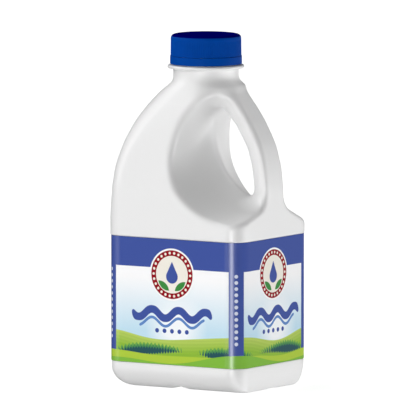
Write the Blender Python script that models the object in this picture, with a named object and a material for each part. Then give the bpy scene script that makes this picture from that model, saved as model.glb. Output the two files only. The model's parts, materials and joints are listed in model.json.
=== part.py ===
"""Plastic milk jug: a blow-moulded body with a through handle, a ribbed screw cap on its
tamper band, and a thin wrap label in a shallow recess.

The origin is under the middle of the base. +Z is up, +X points to the handle, and Y = 0 is
the plane where the two halves of the mould met. Sizes are in metres.
"""
import math

import bmesh
import bpy
from mathutils import Vector

MM = 0.001
GAP = 0.3 * MM

# The body's outline. Each row is a height, the reach to -X, the reach to +X, the half depth
# along Y and the corner radius of the rounded rectangle there. The neck stands at X = NECK_X.
NECK_X = -1.1 * MM
BASE_ROUNDING = 11.5 * MM
SHOULDER_ROWS = [
    (95.0, 46.0, 46.0, 38.3, 10.5),
    (112.0, 45.3, 45.8, 38.0, 10.8),
    (122.0, 44.6, 44.8, 37.2, 11.5),
    (136.0, 42.6, 41.3, 34.4, 13.5),
    (150.0, 38.9, 35.0, 29.5, 17.0),
    (159.0, 35.1, 29.7, 25.5, 20.0),
    (164.0, 31.2, 25.7, 23.2, 20.8),
    (168.5, 26.6, 22.8, 21.2, 20.4),
    (171.5, 22.4, 21.3, 19.9, 19.4),
    (174.0, 19.6, 18.4, 18.9, 18.4),
]
NECK_TOP_OF_BODY = 175.5 * MM

# The finish of the neck: a plain bore size, the transfer bead and the part under the cap.
NECK_RADIUS = 18.7 * MM
BEAD_RADIUS = 21.9 * MM
BEAD_BOTTOM = 181.1 * MM
BEAD_TOP = 183.1 * MM
NECK_END = 198.5 * MM

# The grip recess. Its outline in the mould's plane is two quarter ellipses that meet at
# RECESS_MID_Z, and it widens by DRAFT for each metre away from that plane.
RECESS_MID_Z = 142.0 * MM
RECESS_LEFT_X = 3.4 * MM
RECESS_FLOOR_X = 33.0 * MM
RECESS_FLOOR_Z = 103.8 * MM
RECESS_ROOF_X = 23.0 * MM
RECESS_ROOF_Z = 163.0 * MM
DRAFT = math.tan(math.radians(19.0))
RIDGE_ROUNDING = 8.0 * MM

# The handle: how thick it is inward from the body's outline, and its half width along Y.
HANDLE_THICK = 11.6 * MM
HANDLE_HALF_WIDTH = 10.8 * MM
HANDLE_LOW_Z = 95.0 * MM
HANDLE_HIGH_Z = 170.0 * MM
HANDLE_FULLNESS = 2.5
ROOT_START_Z = 109.0 * MM
ROOT_FLARE = 6.0 * MM

# The label recess and the label in it.
LABEL_BOTTOM = 13.4 * MM
LABEL_TOP = 86.2 * MM
LABEL_RECESS = 1.1 * MM
LABEL_THICK = 0.35 * MM
LABEL_GAP = 0.3 * MM

# Shallow channels across the base leave four feet.
CHANNEL_WIDTH = 12.0 * MM
CHANNEL_DEPTH = 2.2 * MM

# The cap and its tamper band.
CAP_RADIUS = 20.2 * MM
CAP_BORE = NECK_RADIUS + GAP
BAND_RADIUS = 20.5 * MM
BAND_BOTTOM = 184.2 * MM
BAND_TOP = 188.0 * MM
CAP_BOTTOM = BAND_TOP + GAP
CAP_TOP = 200.5 * MM
CAP_EDGE = 1.6 * MM
RIB_COUNT = 120
RIB_DEPTH = 0.35 * MM

CORNER_STEPS = 8
ROUND_STEPS = 64
WHITE_PLASTIC = (0.86, 0.87, 0.87)
CAP_BLUE = (0.004, 0.055, 0.29)
LABEL_BLUE = (0.055, 0.095, 0.35)


def clear_scene():
    """Remove every object of the scene that the script starts in."""
    for thing in list(bpy.data.objects):
        bpy.data.objects.remove(thing, do_unlink=True)


def plastic(name, colour, roughness):
    """A Principled material of one colour."""
    material = bpy.data.materials.new(name)
    material.use_nodes = True
    shader = material.node_tree.nodes["Principled BSDF"]
    shader.inputs["Base Color"].default_value = (*colour, 1.0)
    shader.inputs["Roughness"].default_value = roughness
    shader.inputs["Metallic"].default_value = 0.0
    material.diffuse_color = (*colour, 1.0)
    return material


def add_object(name, mesh_data, material):
    """Turn a bmesh into an object with outward faces and smooth shading."""
    bmesh.ops.recalc_face_normals(mesh_data, faces=mesh_data.faces)
    mesh = bpy.data.meshes.new(name)
    mesh_data.to_mesh(mesh)
    mesh_data.free()
    thing = bpy.data.objects.new(name, mesh)
    bpy.context.scene.collection.objects.link(thing)
    if material:
        mesh.materials.append(material)
        mesh.shade_smooth()
        mesh.set_sharp_from_angle(angle=math.radians(35.0))
    return thing


def add_guide(name, mesh_data):
    """An object that only shapes another one."""
    guide = add_object(name, mesh_data, None)
    guide.hide_render = True
    guide.display_type = "WIRE"
    return guide


def loft(rings, closed=False):
    """A solid through rings of equal counts, with end faces unless it closes on itself."""
    solid = bmesh.new()
    made = [[solid.verts.new(point) for point in ring] for ring in rings]
    pairs = list(zip(made, made[1:]))
    if closed:
        pairs.append((made[-1], made[0]))
    for lower, upper in pairs:
        count = len(lower)
        for i in range(count):
            j = (i + 1) % count
            solid.faces.new((lower[i], lower[j], upper[j], upper[i]))
    if not closed:
        solid.faces.new(made[0])
        solid.faces.new(made[-1])
    return solid


def circle(radius, height, steps):
    """A level circle about the neck's axis."""
    points = []
    for i in range(steps):
        angle = 2.0 * math.pi * i / steps
        points.append((NECK_X + radius * math.cos(angle), radius * math.sin(angle), height))
    return points


def turned(profile, steps, closed=False):
    """A (radius, height) profile turned about the neck's axis, with flat ends or as a ring."""
    return loft([circle(radius, height, steps) for radius, height in profile], closed)


def smooth_rows(rows, height):
    """Values at a height, on a cubic through the rows whose slopes never overshoot."""
    if height <= rows[0][0]:
        return rows[0][1:]
    if height >= rows[-1][0]:
        return rows[-1][1:]
    k = max(i for i in range(len(rows) - 1) if rows[i][0] <= height)
    span = rows[k + 1][0] - rows[k][0]
    t = (height - rows[k][0]) / span

    def slope(i, column):
        if i == 0 or i == len(rows) - 1:
            return 0.0 if i == 0 else chord(i - 1, column)
        before = chord(i - 1, column)
        after = chord(i, column)
        if before * after <= 0.0:
            return 0.0
        return 2.0 * before * after / (before + after)

    def chord(i, column):
        return (rows[i + 1][column] - rows[i][column]) / (rows[i + 1][0] - rows[i][0])

    values = []
    for column in range(1, len(rows[0])):
        start = rows[k][column]
        end = rows[k + 1][column]
        values.append(
            start * (1.0 + 2.0 * t) * (1.0 - t) ** 2
            + end * t * t * (3.0 - 2.0 * t)
            + span * slope(k, column) * t * (1.0 - t) ** 2
            - span * slope(k + 1, column) * t * t * (1.0 - t)
        )
    return values


def outline_at(height):
    """Reach to -X, reach to +X, half depth and corner radius of the body, in metres."""
    left, right, depth, corner = smooth_rows(SHOULDER_ROWS, height / MM)
    corner = min(corner, depth - 0.2, 0.5 * (left + right) - 0.2)
    return left * MM, right * MM, depth * MM, corner * MM


def rounded_rectangle(left, right, depth, corner, height):
    """Points of one level section, counter-clockwise from the corner at +X +Y."""
    centres = (
        (right - corner, depth - corner, 0.0),
        (-left + corner, depth - corner, 0.5),
        (-left + corner, -depth + corner, 1.0),
        (right - corner, -depth + corner, 1.5),
    )
    points = []
    for x, y, start in centres:
        for i in range(CORNER_STEPS + 1):
            angle = math.pi * (start + 0.5 * i / CORNER_STEPS)
            points.append((x + corner * math.cos(angle), y + corner * math.sin(angle), height))
    return points


def body_ring(height, inset=0.0):
    """The body's section at a height, drawn in by an inset."""
    left, right, depth, corner = outline_at(height)
    corner = max(corner - inset, 0.5 * MM)
    return rounded_rectangle(left - inset, right - inset, depth - inset, corner, height)


def body_hull(overlap):
    """The filled body without grip and neck, standing a little below the base plane."""
    rings = []
    base_steps = 7
    for i in range(base_steps + 1):
        angle = 0.5 * math.pi * i / base_steps
        inset = BASE_ROUNDING * (1.0 - math.sin(angle))
        height = BASE_ROUNDING * (1.0 - math.cos(angle))
        ring = body_ring(50.0 * MM, inset)
        rings.append([(x, y, height) for x, y, _ in ring])
    rings.insert(0, [(x, y, -overlap) for x, y, _ in rings[0]])
    height = SHOULDER_ROWS[0][0] * MM
    while height < NECK_TOP_OF_BODY:
        rings.append(body_ring(height))
        height += 2.0 * MM
    rings.append(body_ring(NECK_TOP_OF_BODY))
    return loft(rings)


def recess_outline(y):
    """The grip recess at one distance from the mould's plane, open beyond the body at +X."""
    widen = DRAFT * (math.sqrt(y * y + RIDGE_ROUNDING ** 2) - RIDGE_ROUNDING)
    far_x = 70.0 * MM
    low_z = RECESS_FLOOR_Z - widen
    high_z = RECESS_ROOF_Z + widen
    left_x = RECESS_LEFT_X - widen
    steps = 14
    points = [(far_x, y, low_z)]
    for i in range(steps + 1):
        angle = 0.5 * math.pi * i / steps
        x = RECESS_FLOOR_X - (RECESS_FLOOR_X - left_x) * math.sin(angle)
        z = RECESS_MID_Z - (RECESS_MID_Z - low_z) * math.cos(angle)
        points.append((x, y, z))
    for i in range(1, steps + 1):
        angle = 0.5 * math.pi * i / steps
        x = RECESS_ROOF_X - (RECESS_ROOF_X - left_x) * math.cos(angle)
        z = RECESS_MID_Z + (high_z - RECESS_MID_Z) * math.sin(angle)
        points.append((x, y, z))
    points.append((far_x, y, high_z))
    return points


def recess_cutter():
    """The whole grip recess, front to back, as one solid."""
    reach = 48.0 * MM
    steps = 24
    rings = [recess_outline(reach * (2.0 * i / steps - 1.0)) for i in range(steps + 1)]
    return add_guide("recess_cutter", loft(rings))


def handle_half_width(height):
    """Half width of the handle, flaring into the ledge at its lower root."""
    below = max(0.0, ROOT_START_Z - height)
    return HANDLE_HALF_WIDTH + ROOT_FLARE * (below / ROOT_FLARE) ** 2 / 3.0


def handle_section(height):
    """A section of the handle square to the body's outline, rounded toward the grip."""
    step = 0.5 * MM
    right = outline_at(height)[1]
    rise = Vector((outline_at(height + step)[1] - outline_at(height - step)[1], 0.0, 2.0 * step))
    rise.normalize()
    inward = Vector((-rise.z, 0.0, rise.x))
    start = Vector((right, 0.0, height))
    width = handle_half_width(height)
    points = [start - inward * (6.0 * MM) + Vector((0.0, -width, 0.0))]
    steps = 20
    power = 2.0 / HANDLE_FULLNESS
    for i in range(steps + 1):
        angle = math.pi * i / steps
        side = -math.copysign(abs(math.cos(angle)) ** power, math.cos(angle)) * width
        depth = math.sin(angle) ** power * HANDLE_THICK
        points.append(start + inward * depth + Vector((0.0, side, 0.0)))
    points.append(start - inward * (6.0 * MM) + Vector((0.0, width, 0.0)))
    return points


def handle_bar():
    """The bar that the recess leaves standing, reaching outside the body."""
    steps = 30
    rings = []
    for i in range(steps + 1):
        height = HANDLE_LOW_Z + (HANDLE_HIGH_Z - HANDLE_LOW_Z) * i / steps
        rings.append(handle_section(height))
    return add_guide("handle_bar", loft(rings))


def label_cutter():
    """A square frame whose inside is the floor of the label recess."""
    inner = body_ring(50.0 * MM, LABEL_RECESS)
    outer = rounded_rectangle(60.0 * MM, 60.0 * MM, 50.0 * MM, 10.0 * MM, 0.0)
    rings = [
        [(x, y, LABEL_BOTTOM) for x, y, _ in outer],
        [(x, y, LABEL_TOP) for x, y, _ in outer],
        [(x, y, LABEL_TOP) for x, y, _ in inner],
        [(x, y, LABEL_BOTTOM) for x, y, _ in inner],
    ]
    return add_guide("label_cutter", loft(rings, closed=True))


def box(low, high):
    """An axis-aligned box between two corners."""
    rings = []
    for z in (low[2], high[2]):
        rings.append([
            (low[0], low[1], z),
            (high[0], low[1], z),
            (high[0], high[1], z),
            (low[0], high[1], z),
        ])
    return loft(rings)


def channel(name, along_y):
    """A shallow groove of round section across the base."""
    half = 0.5 * CHANNEL_WIDTH
    steps = 10
    radius = (half * half + CHANNEL_DEPTH ** 2) / (2.0 * CHANNEL_DEPTH)
    spread = math.asin(half / radius)
    outline = [(-half, -4.0 * MM)]
    for i in range(steps + 1):
        angle = spread * (2.0 * i / steps - 1.0)
        outline.append((radius * math.sin(angle), radius * math.cos(angle) - radius + CHANNEL_DEPTH))
    outline.append((half, -4.0 * MM))
    rings = []
    for end in (-70.0 * MM, 70.0 * MM):
        if along_y:
            rings.append([(x, end, z) for x, z in outline])
        else:
            rings.append([(end, x, z) for x, z in outline])
    return add_guide(name, loft(rings))


def boolean(thing, name, guide, operation):
    """Cut or join one guide with the exact solver."""
    modifier = thing.modifiers.new(name, "BOOLEAN")
    modifier.operation = operation
    modifier.solver = "EXACT"
    modifier.object = guide
    return modifier


def neck_core():
    """The turned neck that joins the body, with its transfer bead."""
    low = NECK_TOP_OF_BODY - 6.0 * MM
    soft = 0.5 * MM
    profile = [
        (NECK_RADIUS, low),
        (NECK_RADIUS, BEAD_BOTTOM - soft),
        (BEAD_RADIUS - soft, BEAD_BOTTOM),
        (BEAD_RADIUS, BEAD_BOTTOM + soft),
        (BEAD_RADIUS, BEAD_TOP - soft),
        (BEAD_RADIUS - soft, BEAD_TOP),
        (NECK_RADIUS, BEAD_TOP + 0.3 * soft),
        (NECK_RADIUS, NECK_END - soft),
        (NECK_RADIUS - soft, NECK_END),
    ]
    return add_guide("neck_core", turned(profile, ROUND_STEPS))


def make_jug(material):
    """The body: hull, grip, soft edges, then the crisp cuts and the neck."""
    overlap = 2.0 * MM
    cutter = recess_cutter()
    boolean(cutter, "leave_handle", handle_bar(), "DIFFERENCE")
    jug = add_object("jug", body_hull(overlap), material)
    boolean(jug, "grip", cutter, "DIFFERENCE")

    blend = jug.modifiers.new("even_faces", "REMESH")
    blend.mode = "VOXEL"
    blend.voxel_size = 1.3 * MM
    soften = jug.modifiers.new("soft_edges", "SMOOTH")
    soften.factor = 0.5
    soften.iterations = 16
    thin = jug.modifiers.new("fewer_faces", "DECIMATE")
    thin.decimate_type = "COLLAPSE"
    thin.ratio = 0.055

    boolean(jug, "label_recess", label_cutter(), "DIFFERENCE")
    below = (-90.0 * MM, -90.0 * MM, -10.0 * MM)
    above = (90.0 * MM, 90.0 * MM, 0.0)
    boolean(jug, "flat_base", add_guide("base_cutter", box(below, above)), "DIFFERENCE")
    boolean(jug, "front_channel", channel("front_channel", True), "DIFFERENCE")
    boolean(jug, "side_channel", channel("side_channel", False), "DIFFERENCE")
    boolean(jug, "neck", neck_core(), "UNION")
    return jug


def make_label(material):
    """A thin sleeve in the recess, clear of the body all round."""
    inner_inset = LABEL_RECESS - LABEL_GAP
    outer_inset = inner_inset - LABEL_THICK
    inner = body_ring(50.0 * MM, inner_inset)
    outer = body_ring(50.0 * MM, outer_inset)
    low = LABEL_BOTTOM + GAP
    high = LABEL_TOP - GAP
    rings = [
        [(x, y, low) for x, y, _ in outer],
        [(x, y, high) for x, y, _ in outer],
        [(x, y, high) for x, y, _ in inner],
        [(x, y, low) for x, y, _ in inner],
    ]
    return add_object("label", loft(rings, closed=True), material)


def make_band(material):
    """The plain ring that stays on the neck when the cap is first turned."""
    soft = 0.4 * MM
    profile = [
        (CAP_BORE, BAND_BOTTOM),
        (BAND_RADIUS - soft, BAND_BOTTOM),
        (BAND_RADIUS, BAND_BOTTOM + soft),
        (BAND_RADIUS, BAND_TOP - soft),
        (BAND_RADIUS - soft, BAND_TOP),
        (CAP_BORE, BAND_TOP),
    ]
    return add_object("tamper_band", turned(profile, ROUND_STEPS, closed=True), material)


def cap_ring(radius, height, ribbed):
    """One ring of the cap: a circle, or a circle with a rib on every other point."""
    points = []
    for i in range(2 * RIB_COUNT):
        angle = math.pi * i / RIB_COUNT
        reach = radius - (RIB_DEPTH if ribbed and i % 2 else 0.0)
        points.append((NECK_X + reach * math.cos(angle), reach * math.sin(angle), height))
    return points


def make_cap(material):
    """A cup with fine upright ribs and a rounded top edge, clear of the neck inside it."""
    crown = CAP_RADIUS - RIB_DEPTH
    inside_top = NECK_END + GAP
    rings = [
        cap_ring(CAP_BORE, inside_top, False),
        cap_ring(CAP_BORE, CAP_BOTTOM, False),
        cap_ring(CAP_RADIUS, CAP_BOTTOM, True),
        cap_ring(CAP_RADIUS, CAP_TOP - CAP_EDGE, True),
        cap_ring(crown - 0.3 * CAP_EDGE, CAP_TOP - 0.3 * CAP_EDGE, False),
        cap_ring(crown - CAP_EDGE, CAP_TOP, False),
    ]
    return add_object("cap", loft(rings), material)


def main():
    clear_scene()
    white = plastic("white_plastic", WHITE_PLASTIC, 0.35)
    blue = plastic("blue_plastic", CAP_BLUE, 0.3)
    film = plastic("label_film", LABEL_BLUE, 0.3)
    pieces = [make_jug(white), make_label(film), make_band(blue), make_cap(blue)]
    jug = pieces[0]
    for piece in pieces[1:]:
        piece.parent = jug


main()
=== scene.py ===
# %% [markdown]
# # A plastic milk jug
# The object is a shut milk jug that holds just under one litre: a white blow-moulded body with
# a handle at one top corner, a printed label in a shallow recess, and a blue screw cap on its
# tamper band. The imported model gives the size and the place. This lesson makes the fine
# surfaces over it. Lengths in the shape functions are millimetres, because the drawing of
# such a jug is made in them, and one helper turns them into Blender's metres.

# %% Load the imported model
import json
import math

import bpy
import numpy as np
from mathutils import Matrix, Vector

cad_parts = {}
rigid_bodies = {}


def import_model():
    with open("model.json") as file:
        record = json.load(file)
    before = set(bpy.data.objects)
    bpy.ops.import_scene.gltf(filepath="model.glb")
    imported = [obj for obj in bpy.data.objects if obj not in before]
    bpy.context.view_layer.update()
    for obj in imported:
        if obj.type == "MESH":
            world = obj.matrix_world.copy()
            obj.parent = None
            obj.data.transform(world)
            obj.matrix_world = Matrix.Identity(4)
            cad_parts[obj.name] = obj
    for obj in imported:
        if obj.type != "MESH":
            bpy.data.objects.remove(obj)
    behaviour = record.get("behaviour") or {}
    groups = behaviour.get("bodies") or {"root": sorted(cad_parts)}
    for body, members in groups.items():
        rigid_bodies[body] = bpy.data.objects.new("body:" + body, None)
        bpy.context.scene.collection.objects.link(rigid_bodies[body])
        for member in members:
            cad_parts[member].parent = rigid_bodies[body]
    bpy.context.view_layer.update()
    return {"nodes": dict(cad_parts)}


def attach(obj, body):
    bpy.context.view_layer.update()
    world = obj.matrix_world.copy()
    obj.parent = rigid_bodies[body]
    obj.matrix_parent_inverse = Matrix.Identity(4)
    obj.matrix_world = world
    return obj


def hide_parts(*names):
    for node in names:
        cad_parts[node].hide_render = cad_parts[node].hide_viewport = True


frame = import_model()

MM = 0.001
nodes = frame["nodes"]
print("nodes:", sorted(nodes))

# %% [markdown]
# ## The view
# The photo was taken from far away with a long lens, so upright edges stay upright and the
# sides hardly shrink. A camera 7 m off keeps that. It stands 32 degrees round to the right
# of the front face and looks down by about 6 degrees. The scale follows from the cap: 41 mm
# is 72 pixels, which is 1.756 pixels to the millimetre in a frame of 420.

# %% Camera
PHOTO_SIZE = 420
PIXELS_PER_MM = 1.756
VIEW_AZIMUTH = math.radians(32.4)
VIEW_ELEVATION = math.radians(5.8)
CAMERA_DISTANCE = 7.0
SIGHT_END = 60.0
SENSOR = 36.0
NECK_X = -1.1
NECK_PIXEL_X = 206.05
BASE_PIXEL_Y = 384.3

to_camera = Vector((
    math.sin(VIEW_AZIMUTH) * math.cos(VIEW_ELEVATION),
    -math.cos(VIEW_AZIMUTH) * math.cos(VIEW_ELEVATION),
    math.sin(VIEW_ELEVATION),
))
across = (0.5 * PHOTO_SIZE - NECK_PIXEL_X) / PIXELS_PER_MM
up = (BASE_PIXEL_Y - 0.5 * PHOTO_SIZE) / PIXELS_PER_MM / math.cos(VIEW_ELEVATION)
aim = MM * Vector((
    NECK_X + across * math.cos(VIEW_AZIMUTH),
    across * math.sin(VIEW_AZIMUTH),
    up,
))
camera = bpy.data.objects.new("photo_camera", bpy.data.cameras.new("photo_camera"))
bpy.context.scene.collection.objects.link(camera)
camera.location = aim + CAMERA_DISTANCE * to_camera
camera.rotation_euler = to_camera.to_track_quat("Z", "Y").to_euler()
camera.data.sensor_width = SENSOR
camera.data.lens = PIXELS_PER_MM / MM * CAMERA_DISTANCE * SENSOR / PHOTO_SIZE
camera.data.clip_end = SIGHT_END
bpy.context.scene.camera = camera
print("lens:", round(camera.data.lens), "mm, aimed at", [round(v, 4) for v in aim])

# %% [markdown]
# ## Shader sums
# A material's pattern is arithmetic on coordinates. Writing it as Python sums keeps it
# readable: a Wire is one output socket, and each operator on it adds one Math node. Every
# other kind of node comes from the one method named node, which sets the node up first and
# then fills its sockets with numbers, colours or other wires.

# %% Wires
class Wire:
    """One output socket of a material, which can be used in sums."""

    def __init__(self, tree, socket=None):
        self.tree = tree
        self.socket = socket

    def node(self, kind, settings=None, inputs=None, output=0):
        """Add a node, set it up, fill its sockets and give one output."""
        made = self.tree.nodes.new(kind)
        for name, value in (settings or {}).items():
            setattr(made, name, value)
        for key, value in (inputs or {}).items():
            if isinstance(value, Wire):
                self.tree.links.new(value.socket, made.inputs[key])
            else:
                made.inputs[key].default_value = value
        return Wire(self.tree, made.outputs[output])

    def sum(self, operation, *values):
        return self.node("ShaderNodeMath", {"operation": operation}, dict(enumerate(values)))

    def __add__(self, other):
        return self.sum("ADD", self, other)

    __radd__ = __add__

    def __sub__(self, other):
        return self.sum("SUBTRACT", self, other)

    def __rsub__(self, other):
        return self.sum("SUBTRACT", other, self)

    def __mul__(self, other):
        return self.sum("MULTIPLY", self, other)

    __rmul__ = __mul__

    def __truediv__(self, other):
        return self.sum("DIVIDE", self, other)

    def __rtruediv__(self, other):
        return self.sum("DIVIDE", other, self)

    def __pow__(self, other):
        return self.sum("POWER", self, other)

    def size(self):
        return self.sum("ABSOLUTE", self)

    def sine(self):
        return self.sum("SINE", self)

    def root(self):
        return self.sum("SQRT", self)

    def least(self, other):
        return self.sum("MINIMUM", self, other)

    def most(self, other):
        return self.sum("MAXIMUM", self, other)

    def below(self, other):
        """1 where the value is less than the other, 0 elsewhere, with a hard step."""
        return self.sum("LESS_THAN", self, other)

    def wrap(self, low, high):
        """The value less as many whole spans as bring it between low and high."""
        return self.sum("WRAP", self, high, low)

    def limit(self):
        return self.node("ShaderNodeClamp", None, {0: self, 1: 0.0, 2: 1.0})

    def inside(self, soft):
        """1 where the value is below nought, 0 above, with a soft step as wide as soft."""
        return (0.5 - self / soft).limit()

    def blend(self, low, high):
        """A colour: low where this mask is 0, high where it is 1."""
        return self.node(
            "ShaderNodeMix", {"data_type": "RGBA"}, {0: self, 6: low, 7: high}, output=2
        )


print("a Wire is ready: one Math node for each operator")


# %% Colours and finishes
def srgb(red, green, blue):
    """A colour as the eye reads it on a screen, 0 to 255, as the linear colour of a shader."""
    values = np.array((red, green, blue)) / 255.0
    linear = np.where(values <= 0.04045, values / 12.92, ((values + 0.055) / 1.055) ** 2.4)
    return (*linear.tolist(), 1.0)


def finish(name, **values):
    """A Principled material with its plain values set, and a wire to build its sums from."""
    material = bpy.data.materials.new(name)
    material.use_nodes = True
    tree = material.node_tree
    shader = tree.nodes["Principled BSDF"]
    for key, value in values.items():
        shader.inputs[key.replace("_", " ")].default_value = value
    return material, shader, Wire(tree)


def feed(shader, key, wire):
    """Link a wire to a socket of the shader."""
    wire.tree.links.new(wire.socket, shader.inputs[key])


print("half way up on a screen is", round(srgb(128, 128, 128)[0], 3), "of the light")

# %% [markdown]
# ## Meshes from grids
# A surface with two parameters is a table of points: its rows follow one parameter and its
# columns the other. Neighbours in the table are neighbours on the surface, so the faces can
# be written down for the whole table at once.

# %% Grid helper
def grid_faces(rows, columns, closed_rows=False):
    """Quads of a table whose columns close on themselves. With columns counter-clockwise
    seen from above and rows upward, the faces point outward."""
    r = np.arange(rows if closed_rows else rows - 1)[:, None]
    c = np.arange(columns)[None, :]
    here = r * columns + c
    right = r * columns + (c + 1) % columns
    above = (r + 1) % rows * columns + c
    diagonal = (r + 1) % rows * columns + (c + 1) % columns
    return np.stack((here, right, diagonal, above), axis=-1).reshape(-1, 4)


def fan_faces(centre, ring, upward):
    """Triangles from one pole to a ring of points, seen from above or from below."""
    following = np.roll(ring, -1)
    pole = np.full(len(ring), centre)
    if upward:
        return np.stack((ring, following, pole), axis=-1)
    return np.stack((following, ring, pole), axis=-1)


def zip_rings(points, low, high, centre_x):
    """Triangles between two rings of point numbers on one upright wall. Each ring is put in
    order of its angle round the centre, and each of its edges is joined to the point of the
    other ring that is current where the edge has its middle."""

    def in_order(ring):
        angle = np.arctan2(points[ring, 1], points[ring, 0] - centre_x)
        order = np.argsort(angle)
        return ring[order], angle[order]

    def middles(angle):
        return 0.5 * (angle + np.append(angle[1:], angle[0] + 2.0 * np.pi))

    def current(marks, angle, side):
        thrice = np.concatenate((marks - 2.0 * np.pi, marks, marks + 2.0 * np.pi))
        return np.searchsorted(thrice, angle, side=side) % len(marks)

    low, low_angle = in_order(low)
    high, high_angle = in_order(high)
    low_middle, high_middle = middles(low_angle), middles(high_angle)
    over = high[current(high_middle, low_middle, "left")]
    under = low[current(low_middle, high_middle, "right")]
    return np.concatenate((
        np.stack((low, np.roll(low, -1), over), axis=-1),
        np.stack((np.roll(high, -1), high, under), axis=-1),
    ))


print("two rings of 4 points make", len(grid_faces(2, 4)), "quads")


# %% Many surfaces, one mesh
def join(parts):
    """Several (points, face tables) as one, with each part's numbers shifted past the last."""
    starts = np.cumsum([0] + [len(points) for points, _ in parts])
    tables = [table + start for (_, faces), start in zip(parts, starts) for table in faces]
    return np.concatenate([points for points, _ in parts]), tables


def add_piece(name, points, tables, material, sharp=30.0):
    """Points in millimetres and face tables as a smooth mesh object at the origin."""
    mesh = bpy.data.meshes.new(name)
    corners = np.concatenate([table.ravel() for table in tables])
    sides = np.concatenate([np.full(len(table), table.shape[1]) for table in tables])
    mesh.vertices.add(len(points))
    mesh.loops.add(len(corners))
    mesh.polygons.add(len(sides))
    mesh.vertices.foreach_set("co", (points * MM).astype(np.float32).ravel())
    mesh.loops.foreach_set("vertex_index", corners.astype(np.int32))
    mesh.polygons.foreach_set("loop_start", (np.cumsum(sides) - sides).astype(np.int32))
    mesh.update(calc_edges=True)
    mesh.shade_smooth()
    mesh.set_sharp_from_angle(angle=math.radians(sharp))
    mesh.materials.append(material)
    piece = bpy.data.objects.new(name, mesh)
    bpy.context.scene.collection.objects.link(piece)
    size = np.ptp(points, axis=0).round(1).tolist()
    print(name, len(points), "points,", int((sides - 2).sum()), "triangles,", size, "mm")
    return piece


# %% [markdown]
# ## The body's outline
# Level sections of the body are rounded rectangles. Up to the ledge they are all the same,
# and above it they shrink toward the round neck. A few rows hold the reach to the left and
# to the right, the half depth and the corner's radius, and a cubic that never overshoots
# joins them, so the shoulder has one soft curve from the wall to the neck.

# %% Sections of the body
SHOULDER = np.array([
    (95.0, 46.0, 46.0, 38.3, 10.5),
    (112.0, 45.2, 46.0, 38.0, 10.8),
    (122.0, 45.0, 45.2, 36.3, 11.4),
    (136.0, 42.5, 42.2, 34.0, 13.8),
    (150.0, 38.0, 35.5, 30.3, 17.6),
    (159.0, 33.6, 29.5, 26.2, 19.8),
    (164.0, 30.5, 26.0, 23.4, 20.8),
    (168.5, 26.4, 22.9, 21.2, 20.4),
    (171.5, 22.5, 21.6, 19.9, 19.4),
    (174.0, 19.6, 18.4, 18.9, 18.4),
])


def row_slopes(rows):
    """The slope at each row: the harmonic mean of the chords beside it, nought at the foot."""
    chords = np.diff(rows[:, 1:], axis=0) / np.diff(rows[:, :1], axis=0)
    product = chords[:-1] * chords[1:]
    total = chords[:-1] + chords[1:]
    inner = np.where(product > 0.0, 2.0 * product / np.where(total == 0.0, 1.0, total), 0.0)
    return np.vstack((np.zeros((1, 4)), inner, chords[-1:]))


SHOULDER_SLOPES = row_slopes(SHOULDER)


def section(height):
    """Left reach, right reach, half depth and corner radius at each height: a cubic between
    two rows, the first row's values below them and a straight run on above them."""
    height = np.asarray(height, float)
    z = SHOULDER[:, 0]
    k = np.clip(np.searchsorted(z, height, side="right") - 1, 0, len(z) - 2)
    span = z[k + 1] - z[k]
    t = np.clip((height - z[k]) / span, 0.0, 1.0)
    beyond = np.maximum(height - z[-1], 0.0)
    values = []
    for column in range(4):
        low = SHOULDER[k, column + 1]
        high = SHOULDER[k + 1, column + 1]
        curve = (
            low * (1.0 + 2.0 * t) * (1.0 - t) ** 2
            + high * t * t * (3.0 - 2.0 * t)
            + span * SHOULDER_SLOPES[k, column] * t * (1.0 - t) ** 2
            - span * SHOULDER_SLOPES[k + 1, column] * t * t * (1.0 - t)
        )
        values.append(curve + beyond * SHOULDER_SLOPES[-1, column])
    return values


print("reach at 150 mm:", [round(float(v), 1) for v in section(150.0)])

# %% [markdown]
# ## The body above the label
# The shoulder, the grip recess and the handle flow into each other with soft edges, which is
# hard to draw as one table of points. It is easy as a field: a number at every point of
# space, below nought in the plastic and above it outside. Fields are joined with a soft
# minimum and cut with a soft maximum, and these leave a fillet wherever two shapes meet.
# The mould opens along Y, so the recess widens away from the mould's plane by its draft.

# %% Soft joins
def soft_least(a, b, reach):
    """The smaller of two fields, less a quarter of the reach times the square of their
    nearness, which is 1 where they are equal and nought where they differ by the reach."""
    near = np.maximum(reach - np.abs(a - b), 0.0) / reach
    return np.minimum(a, b) - 0.25 * reach * near * near


def soft_most(a, b, reach):
    """The larger of two fields: the soft least of their negatives, turned back."""
    return -soft_least(-a, -b, reach)


def ease(value, start, end):
    """0 at the start, 1 at the end, and three t squared less two t cubed between."""
    t = np.clip((value - start) / (end - start), 0.0, 1.0)
    return t * t * (3.0 - 2.0 * t)


print("soft least of 1 and 1 over a reach of 2:", soft_least(1.0, 1.0, 2.0))

# %% Field of the shoulder and the neck
NECK_RADIUS = 18.7
NECK_FILLET = 2.2
CORNER_SPARE = 0.2


def hull_field(x, y, z):
    """Distance to the rounded rectangle of each level, joined to the neck's cylinder."""
    left, right, depth, corner = section(z)
    corner = np.minimum(corner, np.minimum(depth, 0.5 * (left + right)) - CORNER_SPARE)
    dx = np.abs(x - 0.5 * (right - left)) - (0.5 * (left + right) - corner)
    dy = np.abs(y) - (depth - corner)
    outside = np.sqrt(np.maximum(dx, 0.0) ** 2 + np.maximum(dy, 0.0) ** 2)
    walls = outside + np.minimum(np.maximum(dx, dy), 0.0) - corner
    neck = np.sqrt((x - NECK_X) ** 2 + y * y) - NECK_RADIUS
    return soft_least(walls, neck, NECK_FILLET)


print("hull at the axis, 130 mm up:", round(float(hull_field(0.0, 0.0, 130.0)), 1), "mm")

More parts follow.
